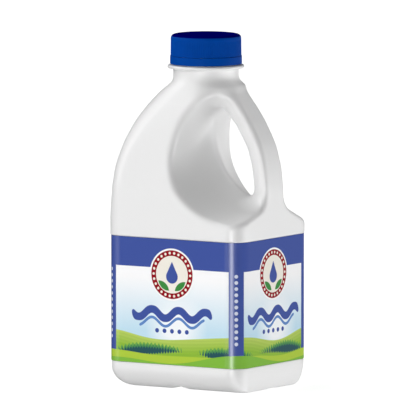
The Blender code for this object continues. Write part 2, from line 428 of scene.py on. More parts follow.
# %% Field of the grip recess
FRONT_DRAFT = math.tan(math.radians(13.0))
BACK_DRAFT = math.tan(math.radians(17.2))
FLOOR_DRAFT_MORE = 1.36
RIDGE_ROUNDING = 4.0
RIDGE_LIFT = 14.8
RIDGE_REACH = 12.0
GRIP_MID_Z = 133.3
GRIP_LEFT_X = 3.6
GRIP_FLOOR = (40.8, 106.8)
GRIP_ROOF = (22.6, 166.5)


def grip_field(x, y, z):
    """Below nought in the recess: quarter ellipses that grow with the distance from the
    mould's plane and sit higher near it, each as its level value over its slope's length."""
    draft = np.where(y < 0.0, FRONT_DRAFT, BACK_DRAFT)
    widen = draft * (np.sqrt(y * y + RIDGE_ROUNDING ** 2) - RIDGE_ROUNDING)
    middle = GRIP_MID_Z + RIDGE_LIFT * np.exp(-(y / RIDGE_REACH) ** 2)
    upper = z >= middle
    centre = np.where(upper, GRIP_ROOF[0], GRIP_FLOOR[0])
    above = GRIP_ROOF[1] - middle + widen
    under = middle - GRIP_FLOOR[1] + FLOOR_DRAFT_MORE * widen
    tall = np.where(upper, above, under)
    wide = centre - GRIP_LEFT_X + widen
    u = np.minimum(x - centre, 0.0) / wide
    v = (z - middle) / tall
    level = np.sqrt(u * u + v * v) + 1e-6
    slope = np.sqrt((u / wide) ** 2 + (v / tall) ** 2) / level + 1e-6
    return (level - 1.0) / slope


print("grip in its middle:", round(float(grip_field(25.0, 0.0, 135.0)), 1), "mm")

# %% Field of the handle
HANDLE_THICK = 12.3
HANDLE_ROOT_THICKER = 0.7
HANDLE_ROOT_Z = (144.0, 160.0)
HANDLE_HALF_WIDTH = 9.8
HANDLE_FULLNESS = 2.5


def handle_field(x, y, z):
    """Below nought in the bar under the body's outline: a full ellipse of the depth inward
    from the outline and of the distance from the mould's plane, thicker at the upper root."""
    right = section(z)[1]
    lean = section(z + 0.5)[1] - section(z - 0.5)[1]
    depth = np.maximum(right - x, 0.0) / np.sqrt(1.0 + lean * lean)
    thick = HANDLE_THICK + HANDLE_ROOT_THICKER * ease(z, *HANDLE_ROOT_Z)
    power = HANDLE_FULLNESS
    level = (depth / thick) ** power + (np.abs(y) / HANDLE_HALF_WIDTH) ** power
    return (level ** (1.0 / power) - 1.0) * HANDLE_HALF_WIDTH


print("handle in its middle:", round(float(handle_field(38.0, 0.0, 130.0)), 1), "mm")

# %% The three fields together
ROOT_FILLET = 8.7
EDGE_FILLET = (3.3, 4.3)
EDGE_Z = (118.0, 150.0)


def upper_field(x, y, z):
    """The body above the label, below nought inside. The recess's edge is crisper low down."""
    left_standing = soft_least(-grip_field(x, y, z), handle_field(x, y, z), ROOT_FILLET)
    edge = EDGE_FILLET[0] + (EDGE_FILLET[1] - EDGE_FILLET[0]) * ease(z, *EDGE_Z)
    return soft_most(hull_field(x, y, z), left_standing, edge)


print("field in the grip:", round(float(upper_field(15.0, 0.0, 130.0)), 1),
      "and in the handle:", round(float(upper_field(38.0, 0.0, 130.0)), 1))

# %% [markdown]
# ## From the field to a mesh
# The field is sampled on a grid of cells. Each cell that holds both signs gets one point at
# the mean of the places where its edges cross nought, and each edge that changes sign gets a
# face between the four cells round it. The points then spread evenly along the surface and
# are drawn back onto it by Newton's step, the field over its slope, so the result is smooth.
# The field has no end at the foot and at the neck. There the lowest and the highest points
# form two level rings, where the plain wall below and the neck above will be joined on.

# %% Cells to faces
def surface_from_field(field, xs, ys, zs):
    """Points and quads of the surface where the field is nought."""
    values = field(xs[:, None, None], ys[None, :, None], zs[None, None, :])
    negative = values < 0.0
    axes = (xs, ys, zs)
    corners = [(a, b, c) for a in (0, 1) for b in (0, 1) for c in (0, 1)]
    shape = tuple(n - 1 for n in values.shape)
    count = np.zeros(shape, int)
    for a, b, c in corners:
        count += negative[a:a + shape[0], b:b + shape[1], c:c + shape[2]]
    cells = np.nonzero((count > 0) & (count < 8))
    number = np.full(shape, -1)
    number[cells] = np.arange(len(cells[0]))

    total = np.zeros((len(cells[0]), 3))
    hits = np.zeros(len(cells[0]))
    for axis in range(3):
        for start in [corner for corner in corners if corner[axis] == 0]:
            low = tuple(cells[i] + start[i] for i in range(3))
            high = tuple(low[i] + (i == axis) for i in range(3))
            before = values[low]
            after = values[high]
            crosses = (before < 0.0) != (after < 0.0)
            share = np.where(crosses, before / np.where(crosses, before - after, 1.0), 0.0)
            for i in range(3):
                first = axes[i][low[i]]
                last = axes[i][high[i]]
                total[:, i] += np.where(crosses, first + share * (last - first), 0.0)
            hits += crosses
    points = total / hits[:, None]

    quads = []
    for axis in range(3):
        one, two = (axis + 1) % 3, (axis + 2) % 3
        below = np.take(negative, range(values.shape[axis] - 1), axis=axis)
        beyond = np.take(negative, range(1, values.shape[axis]), axis=axis)
        edge = np.nonzero(below != beyond)
        keep = (edge[one] > 0) & (edge[two] > 0)
        keep &= (edge[one] < shape[one]) & (edge[two] < shape[two])
        edge = [part[keep] for part in edge]
        around = []
        for shift_one, shift_two in ((1, 1), (0, 1), (0, 0), (1, 0)):
            cell = list(edge)
            cell[one] = edge[one] - shift_one
            cell[two] = edge[two] - shift_two
            around.append(number[tuple(cell)])
        quad = np.stack(around, axis=-1)
        outward = below[tuple(edge)]
        quads.append(np.where(outward[:, None], quad, quad[:, ::-1]))
    return points, np.concatenate(quads)


CELL = 1.1
GRID_X = 50.0
GRID_Y = 42.0
UPPER_LOW = 88.4
UPPER_HIGH = 180.0
upper_points, upper_quads = surface_from_field(
    upper_field,
    np.arange(-GRID_X, GRID_X, CELL),
    np.arange(-GRID_Y, GRID_Y, CELL),
    np.linspace(UPPER_LOW, UPPER_HIGH, round((UPPER_HIGH - UPPER_LOW) / CELL) + 1),
)
print("upper body:", len(upper_quads), "quads")


# %% Spread the points
def slope_of(field, points, step=0.02):
    """The field's slope at each point, from values a small step to either side."""
    parts = []
    for i in range(3):
        move = np.zeros(3)
        move[i] = step
        parts.append((field(*(points + move).T) - field(*(points - move).T)) / (2.0 * step))
    return np.stack(parts, axis=-1)


SPREAD_ROUNDS = 6
SPREAD_SHARE = 0.6
LEAST_STEEP = 0.05


def relax(points, quads, field, level):
    """Move each point toward the mean of its neighbours along the surface, then back onto
    the surface: the point less the field times its slope over the slope squared. Points
    marked level keep their height."""
    edges = np.concatenate([quads[:, [i, (i + 1) % 4]] for i in range(4)])
    ends = np.concatenate((edges, edges[:, ::-1]))
    share = np.bincount(ends[:, 0], minlength=len(points))[:, None]
    for _ in range(SPREAD_ROUNDS):
        mean = np.stack([
            np.bincount(ends[:, 0], weights=points[ends[:, 1], i], minlength=len(points))
            for i in range(3)
        ], axis=-1) / share
        slope = slope_of(field, points)
        normal = slope / (np.linalg.norm(slope, axis=1, keepdims=True) + 1e-9)
        move = mean - points
        move -= np.sum(move * normal, axis=1, keepdims=True) * normal
        move[level, 2] = 0.0
        points = points + SPREAD_SHARE * move
        slope = slope_of(field, points)
        steep = np.maximum(np.sum(slope * slope, axis=1), LEAST_STEEP)
        points = points - (field(*points.T) / steep)[:, None] * slope
    return points


RING_TALL = 0.8 * CELL
foot_ring = upper_points[:, 2] < UPPER_LOW + RING_TALL
head_ring = upper_points[:, 2] > UPPER_HIGH - RING_TALL
upper_points = relax(upper_points, upper_quads, upper_field, foot_ring | head_ring)
miss = np.abs(upper_field(*upper_points.T))
print("points off the surface by", round(float(miss.mean()), 4), "mm in the mean")

# %% [markdown]
# ## The body round the label
# Below the grip every level has the same outline, so here a table of points is best: one
# column for each place round the rounded rectangle, one row for each step of the upright
# profile. The profile starts in the middle of the base, turns up round the base's edge,
# steps into the label's recess and out again. Two shallow channels cross the base and leave
# four feet, as two notches in the photo's lower outline suggest.

# %% Outline of a level
BODY_REACH = 46.0
BODY_DEPTH = 38.3
BODY_CORNER = 10.5
LABEL_RECESS = 1.1
PLAIN_END_GROWTH = 0.55
HANDLE_END_GROWTH = 0.4
HANDLE_END_FULLER = 0.75


def outline(inset, arc_steps=22, long_steps=60, short_steps=48):
    """Points round the rounded rectangle drawn in by an inset, counter-clockwise from the
    right end of the front face. A corner's radius shrinks with the inset, and less fast
    once the base turns under, which rounds the lowest corners more. The base turns under
    more sharply at the handle's end, so that end is drawn in less there."""
    deeper = max(inset - LABEL_RECESS, 0.0)
    plain = BODY_CORNER - inset + PLAIN_END_GROWTH * deeper
    fuller = BODY_CORNER - inset + HANDLE_END_GROWTH * deeper
    left = BODY_REACH - inset
    right = left + HANDLE_END_FULLER * deeper
    depth = BODY_DEPTH - inset
    long_run = left + right - plain - fuller
    quarter = 0.5 * np.pi * np.arange(arc_steps) / arc_steps
    # The middle of each corner and its radius, then the straight run that follows it.
    turns = (
        (right - fuller, fuller - depth, fuller, (0.0, 2.0 * (depth - fuller)), short_steps),
        (right - fuller, depth - fuller, fuller, (-long_run, 0.0), long_steps),
        (plain - left, depth - plain, plain, (0.0, 2.0 * (plain - depth)), short_steps),
        (plain - left, plain - depth, plain, (long_run, 0.0), long_steps),
    )
    pieces = []
    for count, (x, y, corner, run, steps) in enumerate(turns):
        angle = (count - 1) * 0.5 * np.pi + quarter
        arc = np.stack((x + corner * np.cos(angle), y + corner * np.sin(angle)), axis=-1)
        end = count * 0.5 * np.pi
        first = np.array((x + corner * math.cos(end), y + corner * math.sin(end)))
        pieces += [arc, first + np.arange(steps)[:, None] / steps * np.array(run)]
    return np.concatenate(pieces)


def level_ring(inset, height):
    """The outline at one height, as points in space."""
    ring = outline(inset)
    return np.column_stack((ring, np.full(len(ring), height)))


print("outline:", len(outline(0.0)), "points,", np.ptp(outline(0.0), axis=0).tolist(), "mm")

# %% Profile of the wall and grooves of the base
BASE_ROUNDING = 11.8
BASE_INSET = 0.7
BASE_TURN_STEPS = 24
LABEL_LOW = 14.5
LABEL_HIGH = 86.5
LOWER_TOP = 88.0
STEP_ROUNDING = 0.5
STEP_TURN_STEPS = 4
CHANNEL_HALF = 6.0
CHANNEL_DEPTH = 2.2
SIDE_CHANNEL_DEPTH = 0.45


def channel_height(x, y):
    """How far the base is lifted: the higher of two grooves of round section. Such a
    groove's radius is its half width squared plus its depth squared, over twice its depth."""

    def groove(t, deep):
        radius = (CHANNEL_HALF ** 2 + deep ** 2) / (2.0 * deep)
        return np.maximum(np.sqrt(np.maximum(radius ** 2 - t * t, 0.0)) - radius + deep, 0.0)

    return np.maximum(groove(x, CHANNEL_DEPTH), groove(y, SIDE_CHANNEL_DEPTH))


def lower_profile():
    """Rows of (inset, height) up the wall, with rounded steps at the label's recess."""
    turned = 0.5 * np.pi * np.arange(1, BASE_TURN_STEPS + 1) / BASE_TURN_STEPS
    step = 0.5 * np.pi * np.arange(STEP_TURN_STEPS + 1) / STEP_TURN_STEPS
    rise, run = np.sin(step), 1.0 - np.cos(step)
    r = STEP_ROUNDING
    low = 0.5 * (LABEL_RECESS - BASE_INSET)
    rows = [
        (
            BASE_INSET + BASE_ROUNDING * (1.0 - np.sin(turned)),
            BASE_ROUNDING * (1.0 - np.cos(turned)),
        ),
        (BASE_INSET + low * run, LABEL_LOW - low + low * rise),
        (LABEL_RECESS - low + low * rise[1:], LABEL_LOW + low * run[1:]),
        (LABEL_RECESS - r * run, LABEL_HIGH - r + r * rise),
        (r * (1.0 - rise), LABEL_HIGH + r * run),
        (np.zeros(1), np.array([LOWER_TOP])),
    ]
    inset = np.concatenate([row[0] for row in rows])
    height = np.concatenate([row[1] for row in rows])
    return inset, height


print("wall profile:", len(lower_profile()[0]), "rows")

# %% Lower body
BASE_FIRST_SHARE = 0.04
BASE_ROWS = 30
CHANNELS_BELOW = 3.0


def lower_body():
    """The base from its middle outward, then the wall, open on top."""
    rim = level_ring(BASE_ROUNDING + BASE_INSET, 0.0)
    shares = np.linspace(BASE_FIRST_SHARE, 1.0, BASE_ROWS)
    base = rim[None] * shares[:, None, None]
    wall = np.stack([level_ring(inset, height) for inset, height in zip(*lower_profile())])
    table = np.concatenate((base, wall))
    low = table[..., 2] < CHANNELS_BELOW
    lift = channel_height(table[..., 0], table[..., 1])
    table[..., 2] = np.where(low, np.maximum(table[..., 2], lift), table[..., 2])
    rows, columns = table.shape[:2]
    points = table.reshape(-1, 3)
    pole = np.array(((0.0, 0.0, CHANNEL_DEPTH),))
    faces = [
        grid_faces(rows, columns),
        fan_faces(len(points), np.arange(columns), upward=False),
    ]
    return np.concatenate((points, pole)), faces


lower_points, lower_faces = lower_body()
print("lower body:", len(lower_points), "points")

# %% [markdown]
# ## The neck
# The neck was trimmed and pressed to a standard finish, so it is crisp: a plain cylinder with
# one bead for the filling line to hold. Turned shapes are a profile of radius and height
# carried round the neck's axis.

# %% Turned shapes
NECK_COLUMNS = 256


def turn(profile, columns=NECK_COLUMNS, wave=None, ring=False, foot=True):
    """A profile of (radius, height) rows carried round the neck's axis. A wave is a function
    of row and angle that is added to the radius. A ring's profile closes on itself, any
    other is closed by its top pole, and by a pole at its foot unless the foot stays open."""
    profile = np.asarray(profile, float)
    angle = 2.0 * np.pi * np.arange(columns) / columns
    radius = np.repeat(profile[:, :1], columns, axis=1)
    if wave is not None:
        radius = radius + wave(profile, angle)
    points = np.stack((
        NECK_X + radius * np.cos(angle),
        radius * np.sin(angle),
        np.repeat(profile[:, 1:], columns, axis=1),
    ), axis=-1).reshape(-1, 3)
    rows = len(profile)
    faces = [grid_faces(rows, columns, closed_rows=ring)]
    if not ring:
        last = np.arange(columns) + (rows - 1) * columns
        faces.append(fan_faces(len(points), last, upward=True))
        points = np.concatenate((points, ((NECK_X, 0.0, profile[-1, 1]),)))
    if not ring and foot:
        faces.append(fan_faces(len(points), np.arange(columns), upward=False))
        points = np.concatenate((points, ((NECK_X, 0.0, profile[0, 1]),)))
    return points, faces


def bend(centre, radius, first, last, steps=6):
    """Points on an arc of a profile, from one angle to another in degrees."""
    angle = np.radians(np.linspace(first, last, steps))
    return [(centre[0] + radius * math.cos(a), centre[1] + radius * math.sin(a)) for a in angle]


print("a quarter bend:", [(round(a, 2), round(b, 2)) for a, b in bend((0, 0), 1.0, 0, 90, 3)])

# %% Neck
BEAD_RADIUS = 21.9
BEAD_LOW = 181.1
BEAD_HIGH = 183.1
BEAD_ROUND = 0.5 * (BEAD_HIGH - BEAD_LOW)
BEAD_TOP_FILLET = 0.3
NECK_END = 198.5
NECK_CHAMFER = 0.5

neck_profile = (
    bend((NECK_RADIUS + BEAD_ROUND, BEAD_LOW - BEAD_ROUND), BEAD_ROUND, 180.0, 90.0)
    + bend((BEAD_RADIUS - BEAD_ROUND, BEAD_LOW + BEAD_ROUND), BEAD_ROUND, -90.0, 90.0, 12)
    + bend(
        (NECK_RADIUS + BEAD_TOP_FILLET, BEAD_HIGH + BEAD_TOP_FILLET),
        BEAD_TOP_FILLET, -90.0, -180.0, 4,
    )
    + [(NECK_RADIUS, NECK_END - NECK_CHAMFER), (NECK_RADIUS - NECK_CHAMFER, NECK_END)]
)
neck_points, neck_faces = turn(neck_profile, foot=False)
print("neck:", len(neck_profile), "rows,", len(neck_points), "points")

# %% [markdown]
# ## The finish of the body
# Blow-moulded polyethylene is milky: light goes a little way in, so edges are soft and the
# gloss is broad. Its surface has a very fine orange peel from the sand-blasted mould, and a
# thin raised line where the two mould halves met.

# %% White plastic
def noise(wire, place, scale, detail):
    """Soft noise, 0 to 1: the scale is the number of its swings to the metre."""
    return wire.node(
        "ShaderNodeTexNoise", None, {"Vector": place, "Scale": scale, "Detail": detail}
    )


def raised(wire, height, strength, distance):
    """A Bump node's normal, from a height and the length in metres of its unit."""
    return wire.node(
        "ShaderNodeBump", None, {"Height": height, "Strength": strength, "Distance": distance}
    )


PEEL_SCALE, PEEL_TALL = 900.0, 0.006
SWAY_SCALE, SWAY_TALL = 45.0, 0.05
SEAM_TALL = 0.05
SEAM_HALF_WIDTH = 0.22
LEAST_ROUGH = 0.28
MORE_ROUGH = 0.04

white_plastic, white_shader, wire = finish(
    "white_plastic",
    Base_Color=srgb(234, 234, 234),
    IOR=1.72,
    Subsurface_Weight=0.1,
    Subsurface_Radius=(1.0, 1.0, 1.0),
    Subsurface_Scale=MM,
)
place = wire.node("ShaderNodeTexCoord", output=3)
peel = noise(wire, place, PEEL_SCALE, 2.0)
sway = noise(wire, place, SWAY_SCALE, 1.0)
y_place = wire.node("ShaderNodeSeparateXYZ", None, {0: place}, output=1)
seam = (1.0 - (y_place / (SEAM_HALF_WIDTH * MM)).size()).limit()
skin = peel * PEEL_TALL + sway * SWAY_TALL + seam * SEAM_TALL
feed(white_shader, "Normal", raised(wire, skin, 1.0, MM))
feed(white_shader, "Roughness", LEAST_ROUGH + MORE_ROUGH * sway)
print("white plastic:", len(white_plastic.node_tree.nodes), "nodes")

# %% [markdown]
# ## One body out of three surfaces
# The lower wall, the shoulder and the neck each end in a level ring, but their rings have
# different numbers of points. A strip of triangles joins one ring to the next, so the body
# becomes one closed skin, which can be printed or filled as a solid.

# %% Join the body's surfaces
body_points, body_faces = join([
    (lower_points, lower_faces), (upper_points, [upper_quads]), (neck_points, neck_faces),
])
upper_numbers = len(lower_points) + np.arange(len(upper_points))
wall_ring = np.nonzero(lower_points[:, 2] == LOWER_TOP)[0]
neck_ring = len(lower_points) + len(upper_points) + np.arange(NECK_COLUMNS)
body_faces.append(zip_rings(body_points, wall_ring, upper_numbers[foot_ring], 0.0))
body_faces.append(zip_rings(body_points, upper_numbers[head_ring], neck_ring, NECK_X))
body = add_piece("jug_body", body_points, body_faces, white_plastic, sharp=38.0)
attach(body, "root")
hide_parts("jug")

# %% [markdown]
# ## The cap and its tamper band
# The cap is a cup with 120 fine upright ribs for the fingers. The ribs run out below the
# rounded top edge. The band below it is plain and a little wider. Both are turned profiles;
# the ribs are a wave on the radius, faded in and out along the height.

# %% Ribs of the cap
CAP_RADIUS = 20.2
CAP_BORE = 19.0
CAP_LOW = 188.3
CAP_HIGH = 200.5
CAP_EDGE = 2.4
RIB_COUNT = 120
RIB_DEPTH = 0.2
RIB_POWER = 0.7
RIB_START = 0.1
RIB_RISE = 0.5
RIB_FALL = 1.2
RIB_WALL = (0.8, 0.3)


def ribs(profile, angle):
    """Round-topped ribs: a cosine sharpened at its valleys, only on the upright wall."""
    radius, height = profile[:, :1], profile[:, 1:]
    rise = np.clip((height - CAP_LOW - RIB_START) / RIB_RISE, 0.0, 1.0)
    fall = np.clip((CAP_HIGH - CAP_EDGE - height) / RIB_FALL, 0.0, 1.0)
    on_wall = np.clip((radius - CAP_BORE - RIB_WALL[0]) / RIB_WALL[1], 0.0, 1.0)
    shape = np.abs(np.cos(0.5 * RIB_COUNT * angle)) ** RIB_POWER - 1.0
    return RIB_DEPTH * shape[None, :] * rise * fall * on_wall


print("a rib is", round(2.0 * math.pi * CAP_RADIUS / RIB_COUNT, 2), "mm wide")

# %% Profiles of cap and band
CAP_FOOT_BEVEL = 0.1
CAP_TAPER = 0.012
CAP_ROOF_GAP = 0.3
RIM_OUT, RIM_IN, RIM_DEPTH = 16.9, 16.6, 0.1
POLE_RADIUS = 0.2
BAND_RADIUS = 20.5
BAND_LOW = 183.6
BAND_HIGH = 188.15
BAND_FOOT_BEND = 0.35
BAND_TOP_BEND = 0.1
BAND_TOP_INSET = 0.14

cap_roof = NECK_END + CAP_ROOF_GAP
cap_lid = CAP_HIGH - RIM_DEPTH
edge_middle = (CAP_RADIUS - CAP_FOOT_BEVEL - CAP_EDGE, CAP_HIGH - CAP_EDGE)
wall_heights = np.linspace(CAP_LOW + 0.3, CAP_HIGH - CAP_EDGE, 14)
cap_profile = (
    [(POLE_RADIUS, cap_roof), (CAP_BORE, cap_roof), (CAP_BORE, CAP_LOW)]
    + [(CAP_RADIUS - CAP_FOOT_BEVEL, CAP_LOW), (CAP_RADIUS, CAP_LOW + CAP_FOOT_BEVEL)]
    + [(CAP_RADIUS - CAP_TAPER * (h - CAP_LOW), h) for h in wall_heights]
    + bend(edge_middle, CAP_EDGE, 8.0, 90.0, 14)
    + [(RIM_OUT, CAP_HIGH), (RIM_IN, cap_lid), (9.0, cap_lid), (POLE_RADIUS, cap_lid)]
)
foot_middle = (BAND_RADIUS - BAND_FOOT_BEND, BAND_LOW + BAND_FOOT_BEND)
top_middle = (BAND_RADIUS - BAND_TOP_INSET, BAND_HIGH - BAND_TOP_BEND)
band_profile = (
    [(CAP_BORE, BAND_HIGH), (CAP_BORE, BAND_LOW)]
    + bend(foot_middle, BAND_FOOT_BEND, -90.0, 0.0)
    + bend(top_middle, BAND_TOP_BEND, 0.0, 90.0)
)
print("cap profile:", len(cap_profile), "rows, band profile:", len(band_profile), "rows")

# %% [markdown]
# ## The finish of cap and band
# The cap is injection-moulded polypropylene with its blue mixed in. In the photo it has hardly
# any gloss, so the shader's specular level is nearly nought and a fine grain does the rest.
# Its flat top and the upper half of its rounded edge get a deep navy copy of the finish. This is
# painted shade:
# the top is the same blue plastic and looks darker only by how the light falls.

# %% Blue plastic
GRAIN_SCALE, CLOUD_SCALE = 1400.0, 120.0
GRAIN_TALL = 0.02
CLOUD_DARK = 0.86
LEAST_DULL = 0.38
MORE_DULL = 0.1


def blue_finish(name, paint, gloss):
    """Moulded blue polypropylene: one colour, a fine grain and a dull gloss."""
    material, shader, wire = finish(name, IOR=1.49, Specular_IOR_Level=gloss)
    place = wire.node("ShaderNodeTexCoord", output=3)
    grain = noise(wire, place, GRAIN_SCALE, 2.0)
    cloud = noise(wire, place, CLOUD_SCALE, 2.0)
    darker = tuple(CLOUD_DARK * part for part in paint[:3]) + (1.0,)
    feed(shader, "Base Color", cloud.blend(darker, paint))
    feed(shader, "Roughness", LEAST_DULL + MORE_DULL * grain)
    feed(shader, "Normal", raised(wire, grain, 0.5, GRAIN_TALL * MM))
    return material


cap_blue = blue_finish("cap_blue", srgb(0, 69, 162), 0.02)
# Painted shade: a deep navy copy of the cap's blue for its top, which is the same plastic but
# looks darker by how the light falls.
cap_top_painted_shade = blue_finish("cap_top_painted_shade", srgb(0, 0, 102), 0.0)
band_blue = blue_finish("band_blue", srgb(0, 68, 160), 0.02)
print("blue finishes:", cap_blue.name, cap_top_painted_shade.name, band_blue.name)

# %% Put cap and band on
PAINTED_SHADE_FROM = CAP_HIGH - 1.3

cap_points, cap_tables = turn(cap_profile, 6 * RIB_COUNT, ribs)
cap = add_piece("ribbed_cap", cap_points, cap_tables, cap_blue)
# The faces whose corners all lie above the middle of the rounded edge get the navy painted
# shade.
cap.data.materials.append(cap_top_painted_shade)
on_top = [np.all(cap_points[table][..., 2] > PAINTED_SHADE_FROM, axis=1) for table in cap_tables]
cap.data.polygons.foreach_set("material_index", np.concatenate(on_top).astype(np.int32))
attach(cap, "root")
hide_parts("cap")
band = add_piece("tamper_ring", *turn(band_profile, ring=True), band_blue)
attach(band, "root")
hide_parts("tamper_band")

# %% [markdown]
# ## The label
# A thin printed film runs all round the jug in its recess. It is a closed sleeve: the
# outline of the body, drawn in a little, carried up as outer face, top edge, inner face and
# bottom edge. Its UV map unrolls it, with U once round and V up, so that the print can be
# drawn flat, as a printer would.

# %% Label sleeve
LABEL_THICK = 0.3
LABEL_SIDE_GAP = 0.2
LABEL_OUT = 0.45
LABEL_ROWS = 12


def label_sleeve(material):
    """Rows outer low, outer high, inner high, inner low, closed on themselves."""
    low = LABEL_LOW + LABEL_SIDE_GAP
    high = LABEL_HIGH - LABEL_SIDE_GAP
    heights = np.linspace(low, high, LABEL_ROWS)
    rows = [(LABEL_OUT, height) for height in heights]
    rows += [(LABEL_OUT + LABEL_THICK, height) for height in heights[::-1]]
    table = np.stack([level_ring(inset, height) for inset, height in rows])
    points = table.reshape(-1, 3)
    columns = table.shape[1]
    quads = grid_faces(len(rows), columns, closed_rows=True)
    piece = add_piece("print_sleeve", points, [quads], material, sharp=50.0)
    outer = outline(LABEL_OUT)
    steps = np.linalg.norm(np.roll(outer, -1, axis=0) - outer, axis=1)
    along = np.concatenate(((0.0,), np.cumsum(steps))) / steps.sum()
    column = np.tile(np.arange(columns), len(rows))
    u = np.stack((along[column], along[column + 1], along[column + 1], along[column]), axis=-1)
    v = (points[quads][..., 2] - low) / (high - low)
    layer = piece.data.uv_layers.new(name="print")
    layer.data.foreach_set("uv", np.stack((u, v), axis=-1).reshape(-1).astype(np.float32))
    print("label:", round(float(steps.sum()), 1), "mm round,", round(high - low, 1), "mm tall")
    return piece


# %% [markdown]
# ## The print
# The print keeps the label's fields of colour: a blue band on top, blue strips round the
# corners, a pale sky and green meadows. Before the sky stands a plain medallion with a drop
# and two leaves, and below it run two waves and a row of dots. All of it is distances in
# millimetres: a shape is the place where its distance is below nought, and each shape is
# laid over the last. The ink is matt, and the film shines where it starts to turn round a
# corner, so a coat lies over a narrow upright strip at each end of the front and the back.

# %% Measures of the print
LABEL_CORNER = BODY_CORNER - LABEL_OUT
FRONT_RUN = 2.0 * (BODY_REACH - BODY_CORNER)
SIDE_RUN = 2.0 * (BODY_DEPTH - BODY_CORNER)
HALF_TURN = FRONT_RUN + SIDE_RUN + math.pi * LABEL_CORNER
LABEL_TALL = LABEL_HIGH - LABEL_LOW - 2.0 * LABEL_SIDE_GAP
CORNER_AT = 0.5 * FRONT_RUN + 0.25 * math.pi * LABEL_CORNER
FRONT_PANEL_HALF = 37.9
SIDE_PANEL_HALF = 29.9
SIDE_PANEL_SHIFT = 2.3
BEADS_AT = 42.3
BAND_TALL = 16.6
INK_EDGE = 0.16
GLOSS_AT = CORNER_AT - 3.0
GLOSS_HALF = 2.6
GLOSS_FADE = 3.0
INK_BLUE = srgb(66, 86, 161)
INK_RED = srgb(150, 22, 34)
INK_CREAM = srgb(244, 239, 228)
INK_GREEN = srgb(62, 140, 66)

print("panels repeat every", round(HALF_TURN, 1), "mm, corners at", round(CORNER_AT, 1), "mm")

# %% Coordinates of the print
label_print, print_shader, wire = finish(
    "label_print",
    Roughness=0.34,
    IOR=1.5,
    Specular_IOR_Level=0.04,
    Coat_Roughness=0.24,
    Coat_IOR=1.7,
)
uv = wire.node("ShaderNodeUVMap", {"uv_map": "print"})
u = wire.node("ShaderNodeSeparateXYZ", None, {0: uv}, output=0)
v = wire.node("ShaderNodeSeparateXYZ", None, {0: uv}, output=1)
# U starts at the right end of the front face, so half the front run brings it to the middle.
u_mm = u * (2.0 * HALF_TURN) + 0.5 * FRONT_RUN
v_mm = v * LABEL_TALL
quarter = 0.5 * HALF_TURN
front_x = u_mm.wrap(-quarter, quarter)
side_x = (u_mm - quarter + SIDE_PANEL_SHIFT).wrap(-quarter, quarter)
beyond_front = front_x.size() - FRONT_PANEL_HALF
beyond_side = side_x.size() - SIDE_PANEL_HALF
on_side = beyond_side.below(beyond_front)
x = front_x + on_side * (side_x - front_x)
to_gloss = (front_x.size() - GLOSS_AT).size()
print("coordinates:", len(label_print.node_tree.nodes), "nodes")

# %% Shapes of the print
def wave(base, *swings):
    """A height along the print: a base and sines of (swing, waves, start) that close on
    themselves after each pair of panels."""
    line = base
    for swing, waves, start in swings:
        line = (u_mm * (2.0 * math.pi * waves / HALF_TURN) + start).sine() * swing + line
    return line


def circle(at_x, at_v, radius):
    """Distance to a round spot on the panel."""
    dx = x - at_x
    dv = v_mm - at_v
    return (dx * dx + dv * dv).root() - radius


def ripple(base, half_long, half_thick, swing=2.4, pace=0.35):
    """Distance to a wavy bar with round ends, from its height above the wave's middle line
    over the length of the line's slope, and from how far it lies beyond the bar's ends."""
    slope = (x * pace + 0.5 * math.pi).sine() * (swing * pace)
    dv = (v_mm - base - (x * pace).sine() * swing) / (1.0 + slope * slope).root()
    dx = (x.size() - (half_long - half_thick)).most(0.0)
    return (dx * dx + dv * dv).root() - half_thick


def drop(at_v, radius, tall):
    """Distance to a drop: a round foot and two straight flanks to a point above it."""
    foot = circle(0.0, at_v, radius)
    lean = radius / tall
    flank = x.size() * (1.0 - lean * lean) ** 0.5 + (v_mm - at_v) * lean - radius
    return foot.least(flank.most(at_v + lean * radius - v_mm))


def leaf(at_x, at_v, lean, half_long, half_wide):
    """Distance to a leaf: where two discs overlap whose middles lie across its length."""
    radius = (half_long ** 2 + half_wide ** 2) / (2.0 * half_wide)
    off_x = (half_wide - radius) * math.sin(lean)
    off_v = (radius - half_wide) * math.cos(lean)
    one = circle(at_x + off_x, at_v + off_v, radius)
    return one.most(circle(at_x - off_x, at_v - off_v, radius))


def beads(across, along, pitch, radius):
    """Distance to a row of round beads, the same bead at every pitch along the row."""
    step = along.wrap(-0.5 * pitch, 0.5 * pitch)
    return (across * across + step * step).root() - radius


def leaf_row(base, spacing, tall, envelope, start=0.0):
    """Distance to a row of upright leaves, the same leaf again and again along the print.
    A leaf is where two discs overlap, twice as tall as wide, and its size follows an
    envelope, so that the row swells and dies away."""
    along = (u_mm - start).wrap(-0.5 * spacing, 0.5 * spacing)
    dv = v_mm - base
    dx = along.size() + envelope * (0.375 * tall)
    return (dx * dx + dv * dv).root() - envelope * (0.625 * tall)


print("shapes of the print: distances in mm")

# %% Sky, band, medallion and waves
sky = ((v_mm - 19.0) / 30.0).limit().blend(srgb(196, 227, 243), srgb(254, 254, 255))
glow = 1.0 - ((circle(3.0, 21.0, 0.0) - 6.0) / 15.0).limit()
under_band = v_mm - (LABEL_TALL - BAND_TALL)
MEDAL_AT = 51.5
RIM, RING, DISC = 14.9, 13.9, 10.7
PEARLS = 26
medal = circle(0.0, MEDAL_AT, 0.0)
turned = wire.sum("ARCTAN2", v_mm - MEDAL_AT, x)
between = 0.5 * (RING + DISC)
pearls = beads(medal - between, turned * between, 2.0 * math.pi * between / PEARLS, 0.75)
left_leaf = leaf(-5.5, MEDAL_AT - 6.5, -0.65, 4.5, 1.8)
right_leaf = leaf(5.5, MEDAL_AT - 6.5, 0.65, 4.5, 1.8)
sprig = left_leaf.least(right_leaf)
dots = beads(v_mm - 19.2, x, 5.0, 1.3).most(x.size() - 12.4)
corner_beads = beads(front_x.size() - BEADS_AT, v_mm - 14.0, 3.5, 1.05)
corner_beads = corner_beads.most((v_mm - 33.25).size() - 21.0)
print("pearls of the medallion:", PEARLS)

